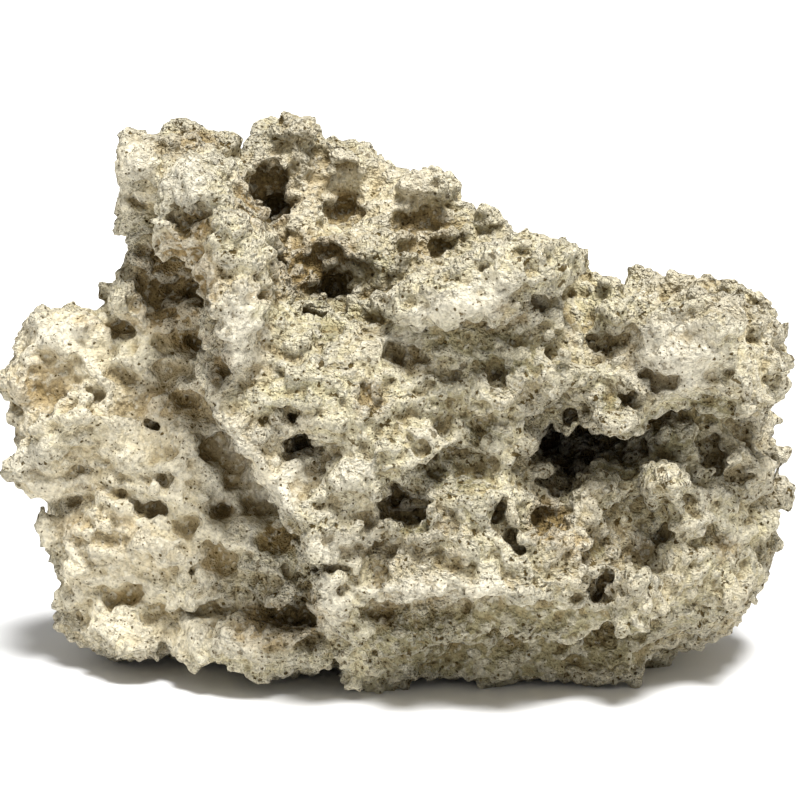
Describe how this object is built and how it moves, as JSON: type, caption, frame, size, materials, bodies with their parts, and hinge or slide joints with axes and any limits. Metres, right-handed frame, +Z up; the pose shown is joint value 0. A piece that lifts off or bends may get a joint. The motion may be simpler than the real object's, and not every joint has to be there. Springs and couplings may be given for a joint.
{
  "type": "aquarium base rock",
  "caption": "Craggy piece of porous cream limestone with a horn, an overhanging arm and a cave under it, laid on the floor of an aquarium as the base of a reef.",
  "frame": {"origin": "on the ground, under the middle of the rock's bounding box", "axes": "+Z up, +X along the rock's length towards the arm, -Y out of the side with the cave"},
  "size_m": [0.2468, 0.1422, 0.1721],
  "materials": {
    "limestone": "matt, chalky and granular, cream white on the crests and tan in the hollows"
  },
  "bodies": {
    "root": {"rock": "limestone"}
  },
  "joints": []
}
